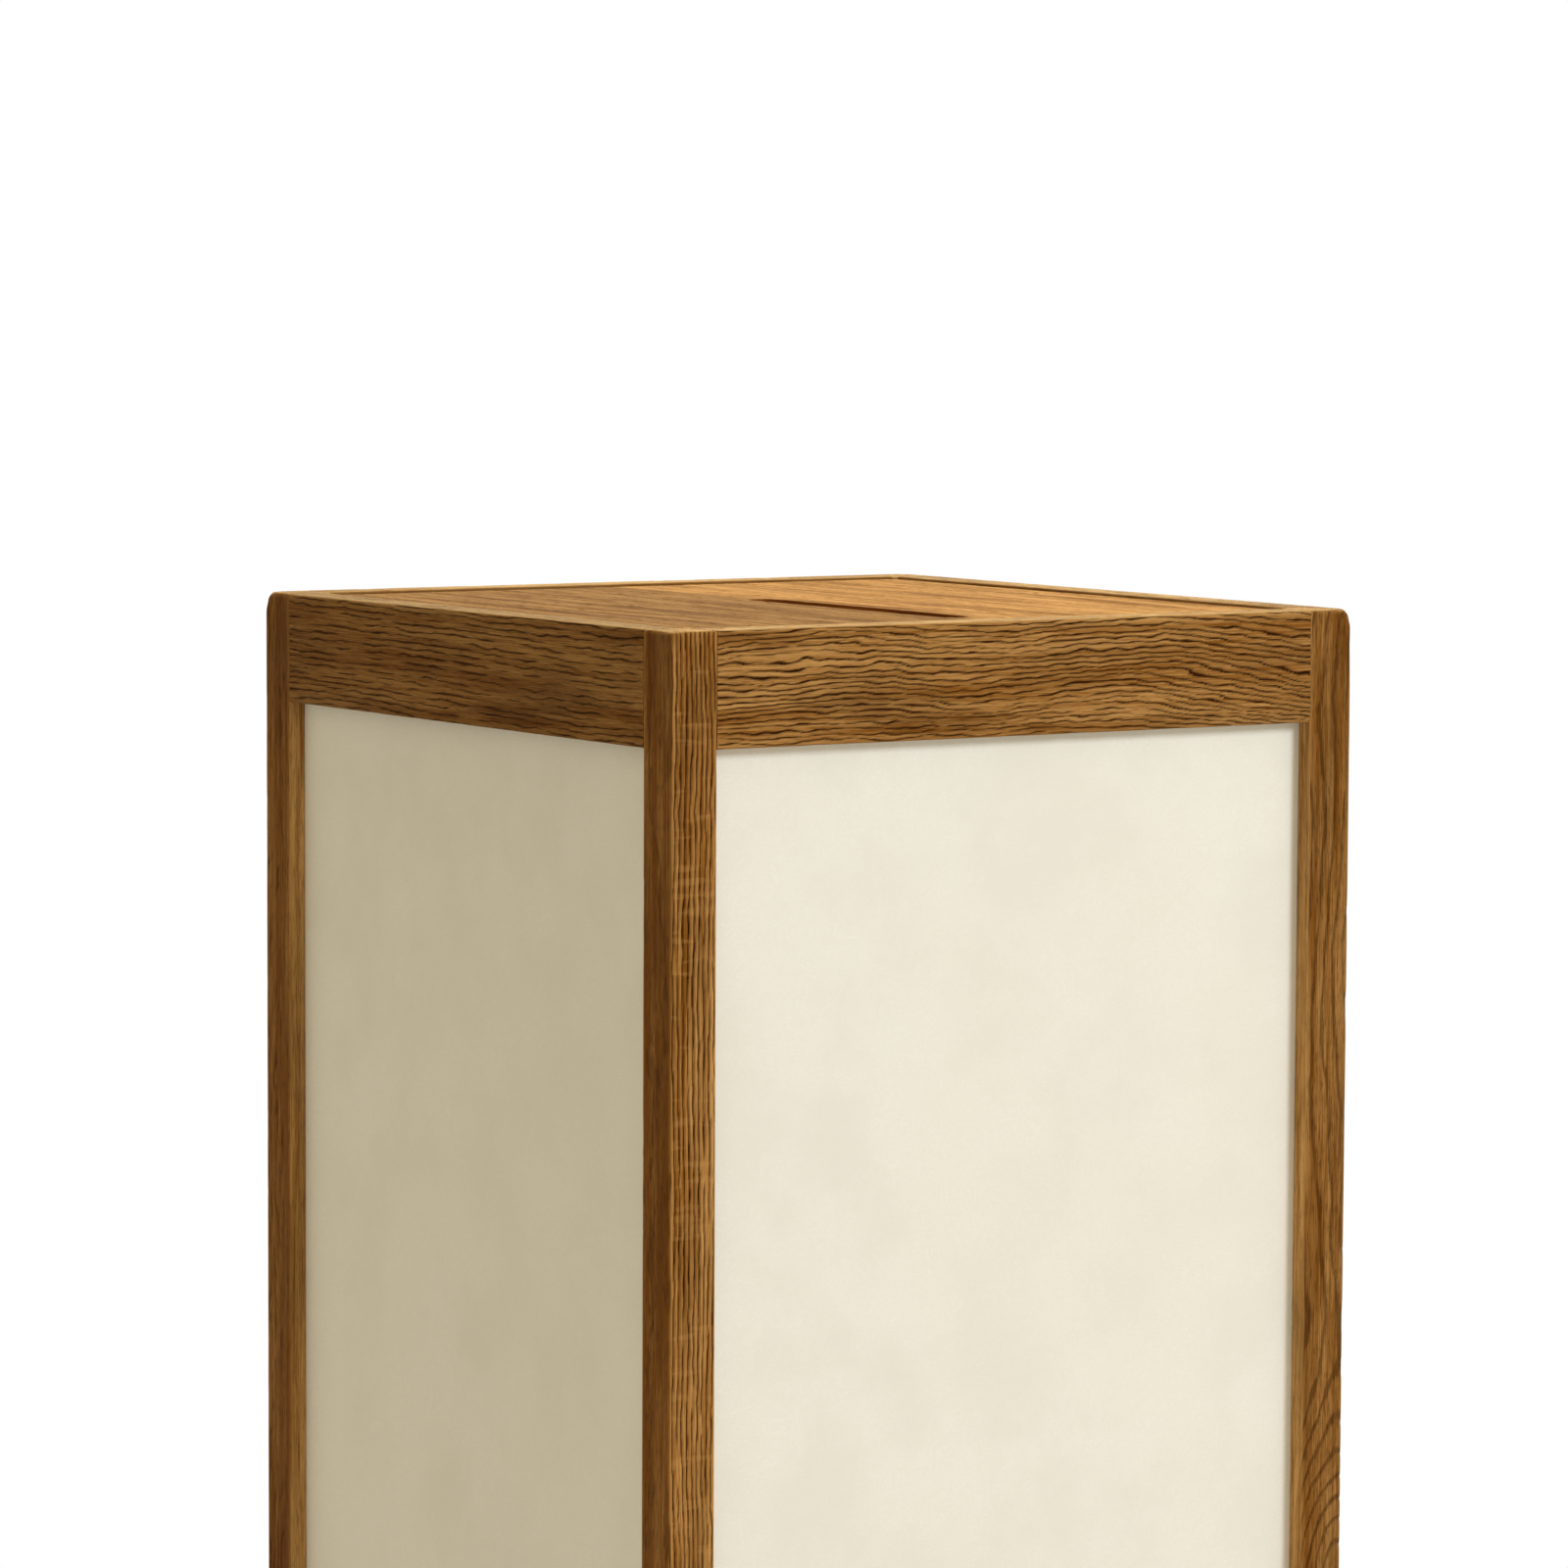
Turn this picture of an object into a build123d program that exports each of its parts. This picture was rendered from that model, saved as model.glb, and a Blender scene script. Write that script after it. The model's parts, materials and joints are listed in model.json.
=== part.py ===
# Andon floor lamp: a square oak frame with paper panels, a lift-out lid, and a bulb on a cross bar.
#
# Millimetres, +Z up. The floor is z = 0 and the origin is under the middle of the frame.
# The front faces -Y. What repeats on the four sides is drawn as the side is seen from outside:
# along X, with the outer face at y = 0 and +Y pointing into the lamp, then turned into place.
from build123d import *
import math
import os

# --- Frame ---
overall_width = 300.0
overall_depth = 300.0
overall_height = 600.0
post_size = 19.0
rail_thickness = 16.0
top_rail_height = 42.0
bottom_rail_height = 42.0
leg_clearance = 45.0  # floor to the underside of the bottom rails
post_edge_round = 0.8  # outer arris of a post
rail_edge_round = 0.8  # outer arrises of a rail
top_corner_round = 0.8  # where a post ends at the top

# --- Mitred stub tenons: two rails meet inside each post ---
tenon_thickness = 5.0
tenon_setback = 5.5  # outer face to the tenon's cheek
tenon_shoulder = 8.0  # above and below the tenon
mitre_gap = 0.3  # glue space where two tenons meet

# --- Paper panels ---
panel_recess = 7.0  # outer face to the paper
panel_thickness = 2.0
panel_play = 0.2  # each side of the panel in its groove
panel_edge_gap = 0.8  # panel's edge to the bottom of a post's groove
post_groove_depth = 5.0
rail_groove_depth = 6.0

# --- Feet ---
foot_pad_radius = 7.5
foot_pad_thickness = 3.0

# --- Lid ---
lid_recess = 1.0  # below the top of the rails
lid_thickness = 9.0
lid_fit = 0.8  # lid to frame, all round
lid_edge_bevel = 0.5
slot_width = 13.0
slot_back_end = 30.0  # behind the middle
slot_batten_gap = 1.0  # slot's front end to the front batten
batten_width = 14.0
batten_height = 10.0
batten_gap = 1.0  # to the ledges, which it keeps the lid between
ledge_width = 8.0
ledge_height = 10.0

# --- Cross bar ---
bar_width = 80.0
bar_thickness = 12.0
bar_end_gap = 0.5
bar_drop = 16.0  # top of the bottom rails to the top of the bar
cleat_size = 12.0

# --- Wood screws ---
screw_shank_radius = 1.5
screw_head_radius = 3.0
screw_rim_height = 0.3
screw_sides = 8  # flat sides of a screw and its hole, so that the many of them have few faces
screw_bite = 7.5  # how deep a screw goes into the second piece
screw_play = 0.05
ledge_screw_inset = 45.0  # from the end of the side's clear width
lid_screw_spacing = 80.0
lid_screw_inset = 22.0  # outer screw to the batten's end
cleat_screw_spacing = 30.0
bar_screw_spacing = 52.0
holder_screw_spacing = 50.0

# --- Porcelain lamp holder for an E26 cap ---
holder_flange_radius = 32.0
holder_flange_height = 9.0
holder_barrel_radius = 21.0
holder_barrel_height = 40.0  # top of the bar to the rim
holder_floor_height = 12.0  # top of the bar to the floor of the bore
holder_chamfer = 2.0
wire_notch_width = 9.0
wire_notch_height = 5.0
shell_wall = 0.5
shell_height = 24.0
shell_base_hole_radius = 8.0
contact_radius = 4.5
contact_height = 3.0

# --- Bulb ---
cap_radius = 13.1
cap_height = 20.0
cap_play = 0.4  # cap to screw shell
insulator_radius = 10.0
insulator_height = 4.0
tip_radius = 4.0
tip_height = 1.6
bulb_collar_radius = 15.0
bulb_collar_height = 14.0
bulb_tube_radius = 16.0
bulb_tube_height = 61.0
bulb_tube_bevel = 3.0  # round the tube's top end

# --- Cable bush in the back bottom rail ---
bush_bore_radius = 3.5
bush_neck_radius = 5.0
bush_flange_radius = 8.0
bush_flange_thickness = 2.0
bush_play = 0.05

# --- Levels and places that follow ---
clear_width = overall_width - 2 * post_size
clear_depth = overall_depth - 2 * post_size
top_rail_bottom = overall_height - top_rail_height
bottom_rail_top = leg_clearance + bottom_rail_height
groove_front = panel_recess - panel_play
groove_back = panel_recess + panel_thickness + panel_play
panel_bottom = bottom_rail_top - rail_groove_depth
panel_top = top_rail_bottom + rail_groove_depth - panel_edge_gap
lid_bottom = overall_height - lid_recess - lid_thickness
lid_half_width = overall_width / 2 - rail_thickness - lid_fit
lid_half_depth = overall_depth / 2 - rail_thickness - lid_fit
batten_half_length = overall_width / 2 - rail_thickness - ledge_width - batten_gap
batten_y = overall_depth / 2 - rail_thickness - ledge_width - batten_gap - batten_width / 2
batten_bottom = lid_bottom - batten_height
bar_top = bottom_rail_top - bar_drop
bar_bottom = bar_top - bar_thickness
bar_half_length = overall_width / 2 - rail_thickness - bar_end_gap
cleat_bottom = bar_bottom - cleat_size
holder_floor = bar_top + holder_floor_height
bore_radius = cap_radius + cap_play + shell_wall + screw_play
bulb_bottom = holder_floor + contact_height
bush_height = leg_clearance + bottom_rail_height / 2

SIDE_TURN = {"front": 0, "right": 90, "back": 180, "left": 270}
LEVELS = {
    "bottom": (leg_clearance, bottom_rail_height),
    "top": (top_rail_bottom, top_rail_height),
}


def block(x, y, z):
    """A box between the low and high value of each axis."""
    size = [high - low for low, high in (x, y, z)]
    return Pos(x[0], y[0], z[0]) * Box(*size, align=(Align.MIN, Align.MIN, Align.MIN))


def side_span(side):
    """The clear width between the two posts of a side."""
    return clear_width if side in ("front", "back") else clear_depth


def on_side(side, shape):
    """Turn a shape drawn for the front into its place on a side."""
    reach = overall_depth if side in ("front", "back") else overall_width
    return Rot(0, 0, SIDE_TURN[side]) * Pos(0, -reach / 2, 0) * shape


def turned(points):
    """The solid of a half section, as radius and height, turned about Z."""
    return revolve(Plane.XZ * make_face(Polyline(*points, close=True)), Axis.Z)


def disc(radius, height, bottom=0.0):
    """A round bar standing on a level."""
    bar = Cylinder(radius, height, align=(Align.CENTER, Align.CENTER, Align.MIN))
    return Pos(0, 0, bottom) * bar


def wood_screw(length, play=0.0):
    """A countersunk screw with its head's face at z = 0; with play, the hole it goes in."""
    shank = RegularPolygon(screw_shank_radius + play, screw_sides)
    sink = (screw_head_radius - screw_shank_radius) * math.cos(math.pi / screw_sides)
    head = extrude(
        RegularPolygon(screw_head_radius + play, screw_sides), -screw_rim_height - play - sink
    )
    head = chamfer(head.edges().group_by(Axis.Z)[0], sink)
    return head + extrude(shank, -length - play)


def screws(places, length, play=0.0):
    """A screw, or the hole for one, at each place."""
    return [place * wood_screw(length, play) for place in places]


# --- Posts ---
def tenon_outline(end, gap):
    """A tenon from above, measured in from the post's outer corner, with its mitred end."""
    inner = tenon_setback + tenon_thickness
    return make_face(Polyline(
        (end, tenon_setback),
        (end, inner),
        (inner + gap, inner),
        (tenon_setback + gap, tenon_setback),
        close=True,
    ))


def tenon(level, end, gap):
    """The tenon of the rail along X at a post whose outer corner is the origin."""
    bottom, height = LEVELS[level]
    outline = Pos(0, 0, bottom + tenon_shoulder) * tenon_outline(end, gap)
    return extrude(outline, height - 2 * tenon_shoulder)


def swapped(shape):
    """The same shape for the side that meets this one at the corner."""
    return mirror(shape, about=Plane(origin=(0, 0, 0), z_dir=(1, -1, 0)))


def post():
    """A post with its outer corner at the origin."""
    body = block((0, post_size), (0, post_size), (foot_pad_thickness, overall_height))
    arris = body.edges().filter_by(Axis.Z).sort_by_distance((0, 0, overall_height / 2))[0]
    body = fillet(arris, post_edge_round)
    top_edges = body.edges().group_by(Axis.Z)[-1]
    outer = [e for e in top_edges if min(e.center().X, e.center().Y) < post_edge_round]
    body = fillet(outer, top_corner_round)
    groove = block(
        (post_size - post_groove_depth, post_size),
        (groove_front, groove_back),
        (panel_bottom - panel_edge_gap, panel_top + panel_edge_gap),
    )
    cuts = [groove] + [tenon(level, post_size, 0.0) for level in LEVELS]
    return body - cuts - [swapped(cut) for cut in cuts]


def posts():
    front_left = Pos(-overall_width / 2, -overall_depth / 2, 0) * post()
    front_right = mirror(front_left, about=Plane.YZ)
    return {
        "post_front_left": front_left,
        "post_front_right": front_right,
        "post_back_left": mirror(front_left, about=Plane.XZ),
        "post_back_right": mirror(front_right, about=Plane.XZ),
    }


# --- Rails ---
def rail(side, level):
    """A rail with its tenons and the groove that takes the panel's edge."""
    half = side_span(side) / 2
    bottom, height = LEVELS[level]
    body = block((-half, half), (0, rail_thickness), (bottom, bottom + height))
    outer = [e for e in body.edges().filter_by(Axis.X) if e.center().Y < rail_thickness / 2]
    body = fillet(outer, rail_edge_round)
    right_tenon = mirror(tenon(level, post_size, mitre_gap), about=Plane.YZ)
    right_tenon = Pos(half + post_size, 0, 0) * right_tenon
    grooved = (bottom, bottom + rail_groove_depth)
    if level == "bottom":
        grooved = (bottom + height - rail_groove_depth, bottom + height)
    body = body + right_tenon + mirror(right_tenon, about=Plane.YZ)
    return body - block((-half, half), (groove_front, groove_back), grooved)


def top_rail(side):
    return on_side(side, rail(side, "top") - ledge_screws(side, screw_play))


def bottom_rail(side):
    body = rail(side, "bottom")
    if side in ("left", "right"):
        body -= cleat_screws(screw_play)
    if side == "back":
        body -= bush_outline(bush_play)
    return on_side(side, body)


# --- Panels ---
def panel(side):
    """A sheet of laminated paper, standing on the floor of the bottom rail's groove."""
    half = side_span(side) / 2 + post_groove_depth - panel_edge_gap
    sheet = block(
        (-half, half),
        (panel_recess, panel_recess + panel_thickness),
        (panel_bottom, panel_top),
    )
    return on_side(side, sheet)


# --- Lid ledges ---
def ledge_screws(side, play=0.0):
    """Two screws from inside the lamp, through a ledge and into the rail."""
    x = side_span(side) / 2 - ledge_screw_inset
    y = rail_thickness + ledge_width
    z = lid_bottom - ledge_height / 2
    places = [Pos(sign * x, y, z) * Rot(-90, 0, 0) for sign in (-1, 1)]
    return screws(places, ledge_width + screw_bite, play)


def lid_ledge(side):
    """Front and back ledges reach the posts; the other two fit between them."""
    half = side_span(side) / 2
    if side in ("left", "right"):
        half = overall_depth / 2 - rail_thickness - ledge_width
    strip = block(
        (-half, half),
        (rail_thickness, rail_thickness + ledge_width),
        (lid_bottom - ledge_height, lid_bottom),
    )
    return on_side(side, strip - ledge_screws(side, screw_play))


# --- Cross bar ---
def cleat_screws(play=0.0):
    """Two screws through a cleat into the bottom rail."""
    places = [
        Pos(sign * cleat_screw_spacing / 2, rail_thickness + cleat_size, bar_bottom - cleat_size / 2)
        * Rot(-90, 0, 0)
        for sign in (-1, 1)
    ]
    return screws(places, cleat_size + screw_bite, play)


def bar_screws(play=0.0):
    """Two screws down through each end of the bar into its cleat."""
    x = overall_width / 2 - rail_thickness - cleat_size / 2
    y = bar_screw_spacing / 2
    places = [Pos(sx * x, sy * y, bar_top) for sx in (-1, 1) for sy in (-1, 1)]
    return screws(places, bar_thickness + screw_bite, play)


def holder_screws(play=0.0):
    """Two screws through the lamp holder's flange into the bar."""
    height = bar_top + holder_flange_height
    places = [Pos(sign * holder_screw_spacing / 2, 0, height) for sign in (-1, 1)]
    return screws(places, holder_flange_height + screw_bite, play)


def bar_cleat(side):
    half = bar_width / 2
    strip = block(
        (-half, half),
        (rail_thickness, rail_thickness + cleat_size),
        (cleat_bottom, bar_bottom),
    )
    return on_side(side, strip - cleat_screws(screw_play)) - bar_screws(screw_play)


def lamp_bar():
    half = bar_width / 2
    body = block((-bar_half_length, bar_half_length), (-half, half), (bar_bottom, bar_top))
    return body - bar_screws(screw_play) - holder_screws(screw_play)


# --- Lamp holder ---
def holder_body():
    """Porcelain flange and barrel with a stepped bore and a notch for the wires at the back."""
    outer = turned([
        (0, 0),
        (holder_flange_radius, 0),
        (holder_flange_radius, holder_flange_height - holder_chamfer),
        (holder_flange_radius - holder_chamfer, holder_flange_height),
        (holder_barrel_radius, holder_flange_height),
        (holder_barrel_radius, holder_barrel_height - holder_chamfer),
        (holder_barrel_radius - holder_chamfer, holder_barrel_height),
        (0, holder_barrel_height),
    ])
    bore = disc(bore_radius, holder_barrel_height, holder_floor_height)
    notch = block(
        (-wire_notch_width / 2, wire_notch_width / 2),
        (bore_radius, holder_flange_radius),
        (0, wire_notch_height),
    )
    return Pos(0, 0, bar_top) * (outer - bore - notch) - holder_screws(screw_play)


def holder_shell():
    """The plated screw shell, a thin cup with a hole in its base for the centre contact."""
    outer = bore_radius - screw_play
    inner = outer - shell_wall
    return Pos(0, 0, holder_floor) * turned([
        (shell_base_hole_radius, 0),
        (outer, 0),
        (outer, shell_height),
        (inner, shell_height),
        (inner, shell_wall),
        (shell_base_hole_radius, shell_wall),
    ])


def holder_contact():
    return disc(contact_radius, contact_height, holder_floor)


# --- Cable bush ---
def bush_outline(play=0.0):
    """The bush without its bore, flush with the rail's outer face; with play, its hole."""
    neck = bush_neck_radius + play
    flange = bush_flange_radius + play
    section = [
        (0, 0),
        (flange, 0),
        (flange, -bush_flange_thickness),
        (neck, -bush_flange_thickness),
        (neck, -rail_thickness),
        (0, -rail_thickness),
    ]
    return Pos(0, 0, bush_height) * Rot(90, 0, 0) * turned(section)


def cable_bush():
    bore = Pos(0, 0, bush_height) * Rot(-90, 0, 0) * disc(bush_bore_radius, rail_thickness)
    return on_side("back", bush_outline() - bore)


# --- Feet ---
def foot_pads():
    """A round felt pad under the middle of each post."""
    x = (overall_width - post_size) / 2
    y = (overall_depth - post_size) / 2
    pad = disc(foot_pad_radius, foot_pad_thickness)
    return {
        f"foot_pad_{depth}_{hand}": Pos(sx * x, sy * y, 0) * pad
        for depth, sy in (("front", -1), ("back", 1))
        for hand, sx in (("left", -1), ("right", 1))
    }


# --- Lid ---
def lid_slot():
    """The finger and vent slot, cut half from each board."""
    front_end = -batten_y + batten_width / 2 + slot_batten_gap
    length = slot_back_end - front_end
    middle = (slot_back_end + front_end) / 2
    outline = Pos(0, middle, lid_bottom) * Rot(0, 0, 90) * SlotOverall(length, slot_width)
    return extrude(outline, lid_thickness)


def corner_notches():
    """Room for the posts, which stand further in than the rails."""
    notch = post_size - rail_thickness
    size = 2 * notch
    return [
        Pos(sx * lid_half_width, sy * lid_half_depth, lid_bottom + lid_thickness / 2)
        * Box(size, size, lid_thickness)
        for sx in (-1, 1)
        for sy in (-1, 1)
    ]


def lid_board(x):
    """One board of the lid, from its outer edge to the joint in the middle, grain front to back."""
    body = block(x, (-lid_half_depth, lid_half_depth), (lid_bottom, lid_bottom + lid_thickness))
    top_edges = body.edges().group_by(Axis.Z)[-1]
    outer = [e for e in top_edges if abs(e.center().X) > lid_fit]
    body = chamfer(outer, lid_edge_bevel)
    return body - corner_notches() - lid_slot() - lid_screws(screw_play)


def lid_batten(y):
    half = batten_width / 2
    body = block(
        (-batten_half_length, batten_half_length),
        (y - half, y + half),
        (batten_bottom, lid_bottom),
    )
    return body - lid_screws(screw_play)


def lid_screws(play=0.0):
    """Four screws up through each batten, two into each board."""
    outer = batten_half_length - lid_screw_inset
    rows = (-outer, -outer + lid_screw_spacing, outer - lid_screw_spacing, outer)
    places = [
        Pos(x, y, batten_bottom) * Rot(180, 0, 0)
        for x in rows
        for y in (-batten_y, batten_y)
    ]
    return screws(places, batten_height + screw_bite, play)


# --- Bulb ---
def bulb_parts():
    """A short tubular lamp: tube, collar, cap, insulator and tip, on the centre contact."""
    insulator_bottom = bulb_bottom + tip_height
    cap_bottom = insulator_bottom + insulator_height
    collar_bottom = cap_bottom + cap_height
    tube_bottom = collar_bottom + bulb_collar_height
    tube = disc(bulb_tube_radius, bulb_tube_height, tube_bottom)
    return {
        "bulb_tip": disc(tip_radius, tip_height, bulb_bottom),
        "bulb_insulator": disc(insulator_radius, insulator_height, insulator_bottom),
        "bulb_cap": disc(cap_radius, cap_height, cap_bottom),
        "bulb_body": disc(bulb_collar_radius, bulb_collar_height, collar_bottom),
        "bulb_globe": chamfer(tube.edges().sort_by(Axis.Z)[-1], bulb_tube_bevel),
    }


def all_parts():
    parts = posts()
    for side in SIDE_TURN:
        parts[f"top_rail_{side}"] = top_rail(side)
        parts[f"bottom_rail_{side}"] = bottom_rail(side)
        parts[f"panel_{side}"] = panel(side)
        parts[f"lid_ledge_{side}"] = lid_ledge(side)
    parts["ledge_screws"] = Compound(
        [on_side(side, screw) for side in SIDE_TURN for screw in ledge_screws(side)]
    )
    for side in ("left", "right"):
        parts[f"bar_cleat_{side}"] = bar_cleat(side)
    parts["cleat_screws"] = Compound(
        [on_side(side, screw) for side in ("left", "right") for screw in cleat_screws()]
    )
    parts["lamp_bar"] = lamp_bar()
    parts["bar_screws"] = Compound(bar_screws())
    parts["holder_body"] = holder_body()
    parts["holder_shell"] = holder_shell()
    parts["holder_contact"] = holder_contact()
    parts["holder_screws"] = Compound(holder_screws())
    parts["cable_bush"] = cable_bush()
    parts.update(foot_pads())
    parts["lid_board_left"] = lid_board((-lid_half_width, 0))
    parts["lid_board_right"] = lid_board((0, lid_half_width))
    parts["lid_batten_front"] = lid_batten(-batten_y)
    parts["lid_batten_back"] = lid_batten(batten_y)
    parts["lid_screws"] = Compound(lid_screws())
    parts.update(bulb_parts())
    return parts


os.makedirs("parts", exist_ok=True)
for name, shape in all_parts().items():
    export_step(shape, f"parts/{name}.step")
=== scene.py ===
import json
import math
from dataclasses import dataclass
from itertools import product

import bmesh
import bpy
import numpy as np
from mathutils import Matrix, Vector

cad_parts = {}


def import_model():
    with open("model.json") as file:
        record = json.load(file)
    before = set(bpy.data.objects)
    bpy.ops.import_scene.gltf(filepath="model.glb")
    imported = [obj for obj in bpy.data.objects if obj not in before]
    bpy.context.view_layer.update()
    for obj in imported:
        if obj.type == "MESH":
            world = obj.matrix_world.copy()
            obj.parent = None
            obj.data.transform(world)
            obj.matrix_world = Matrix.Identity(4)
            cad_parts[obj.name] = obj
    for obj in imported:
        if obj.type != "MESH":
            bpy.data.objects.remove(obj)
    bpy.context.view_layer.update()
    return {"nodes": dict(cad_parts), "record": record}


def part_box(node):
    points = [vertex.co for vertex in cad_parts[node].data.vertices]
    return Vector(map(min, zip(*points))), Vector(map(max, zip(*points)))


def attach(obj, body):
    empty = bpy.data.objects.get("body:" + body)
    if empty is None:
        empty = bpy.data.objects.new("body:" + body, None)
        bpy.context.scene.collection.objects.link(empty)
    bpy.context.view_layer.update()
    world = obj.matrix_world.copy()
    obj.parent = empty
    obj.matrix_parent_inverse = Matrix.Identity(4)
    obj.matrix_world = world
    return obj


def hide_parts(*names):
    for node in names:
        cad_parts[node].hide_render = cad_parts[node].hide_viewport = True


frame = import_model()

MM = 0.001
NODES = frame["nodes"]
BODY_OF = {node: body for body, nodes in frame["record"]["behaviour"]["bodies"].items() for node in nodes}

# --- Camera, in metres and degrees ---
CAMERA_PLACE = (-1.2671, -1.9490, 0.7265)
CAMERA_YAW = 32.902
CAMERA_PITCH = -4.845
CAMERA_ROLL = 0.263
CAMERA_LENS = 139.8
CAMERA_SENSOR = 36.0


def srgb(red, green, blue):
    """A colour given in screen values from 0 to 255, as the linear colour that a shader takes."""

    def linear(value):
        share = value / 255
        return share / 12.92 if share <= 0.04045 else ((share + 0.055) / 1.055) ** 2.4

    return (linear(red), linear(green), linear(blue), 1.0)


# --- Shader maths ---
class Number:
    """A number in a shader. Python's operators on it add the Math nodes."""

    def __init__(self, nodes, socket):
        self.nodes = nodes
        self.socket = socket

    def maths(self, operation, *values, **settings):
        node = self.nodes.node("Math", {"operation": operation, **settings}, dict(enumerate(values)))
        return Number(self.nodes, node.outputs[0])

    def __add__(self, other):
        return self.maths("ADD", self, other)

    def __sub__(self, other):
        return self.maths("SUBTRACT", self, other)

    def __mul__(self, other):
        return self.maths("MULTIPLY", self, other)

    def __pow__(self, other):
        return self.maths("POWER", self, other)

    def __rsub__(self, other):
        return self.maths("SUBTRACT", other, self)

    __radd__ = __add__
    __rmul__ = __mul__

    def clamped(self):
        return self.maths("ADD", self, 0.0, use_clamp=True)

    def step(self, low, high):
        """Rises smoothly from 0 at low to 1 at high."""
        ramp = self.nodes.node(
            "MapRange",
            {"interpolation_type": "SMOOTHSTEP"},
            {"Value": self, "From Min": low, "From Max": high},
        )
        return Number(self.nodes, ramp.outputs["Result"])


class Nodes:
    """The nodes of one finish, or of the world round the lamp."""

    def __init__(self, tree):
        self.tree = tree
        self.tree.nodes.clear()

    def node(self, kind, settings=None, values=None):
        """Any node, by its type: its settings first, then the values or links of its sockets."""
        made = self.tree.nodes.new("ShaderNode" + kind)
        for name, value in (settings or {}).items():
            setattr(made, name, value)
        for key, value in (values or {}).items():
            socket = made.inputs[key]
            source = value.socket if isinstance(value, Number) else value
            if isinstance(source, bpy.types.NodeSocket):
                self.tree.links.new(source, socket)
            else:
                socket.default_value = source
        return made

    def seen(self):
        """1 on rays from the camera and on those from gloss or glass, and 0 on all others."""
        ray = self.node("LightPath")
        camera, glossy, glass = (
            Number(self, ray.outputs[f"Is {kind} Ray"]) for kind in ("Camera", "Glossy", "Transmission")
        )
        return (camera + glossy + glass).clamped()


class Finish(Nodes):
    """A material that is built up from nodes."""

    def __init__(self, name):
        self.material = bpy.data.materials.new(name)
        self.material.use_nodes = True
        super().__init__(self.material.node_tree)

    def stored(self, name):
        """A number that the mesh holds at each of its points."""
        return Number(self, self.node("Attribute", {"attribute_name": name}).outputs["Fac"])

    def place(self):
        """The place in the piece's own frame, in metres."""
        return self.node("TexCoord").outputs["Object"]

    def timber_place(self):
        """The place in a timber: along its grain, across it and through it, in millimetres."""
        return self.node("Attribute", {"attribute_name": "timber"}).outputs["Vector"]

    def stretched(self, place, scale, shift=(0.0, 0.0, 0.0)):
        return self.node("Mapping", None, {"Vector": place, "Scale": scale, "Location": shift}).outputs[0]

    def noise(self, place, scale=1.0, detail=2.0, roughness=0.5):
        made = self.node(
            "TexNoise", None, {"Vector": place, "Scale": scale, "Detail": detail, "Roughness": roughness}
        )
        return Number(self, made.outputs["Fac"])

    def grain(self, place, along, across, detail=2.0, shift=(0.0, 0.0, 0.0)):
        """Noise in a timber, by its cells per millimetre along the grain and across it."""
        return self.noise(self.stretched(place, (along, across, across), shift), detail=detail)

    def cells(self, place, scale):
        made = self.node("TexVoronoi", None, {"Vector": place, "Scale": scale})
        return Number(self, made.outputs["Distance"])

    def grey(self, number):
        """A number as a grey of that brightness."""
        made = self.node("CombineColor", None, {"Red": number, "Green": number, "Blue": number})
        return made.outputs[0]

    def mix(self, share, first, second, blend="MIX"):
        made = self.node("Mix", {"data_type": "RGBA", "blend_type": blend}, {0: share, 6: first, 7: second})
        return made.outputs[2]

    def bump(self, height, depth, strength=1.0):
        """A normal from a height between 0 and 1, where 1 stands for depth in metres."""
        made = self.node("Bump", None, {"Height": height, "Distance": depth, "Strength": strength})
        return made.outputs["Normal"]

    def surface(self, colour, roughness, normal=None, **fixed):
        values = {"Base Color": colour, "Roughness": roughness}
        values.update({name.replace("_", " "): value for name, value in fixed.items()})
        if normal is not None:
            values["Normal"] = normal
        shader = self.node("BsdfPrincipled", None, values)
        self.node("OutputMaterial", None, {"Surface": shader.outputs[0]})
        return self.material


# --- Finishes ---
class Stain:
    """The colours of one lot of stained oak: painted light for its tops and inner sides, ridges, body and
    valleys, whose dark is partly painted shade.
    """

    def __init__(self, painted_light, ridge, body, valley):
        self.painted_light = srgb(*painted_light)
        self.ridge = srgb(*ridge)
        self.body = srgb(*body)
        self.valley = srgb(*valley)


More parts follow.
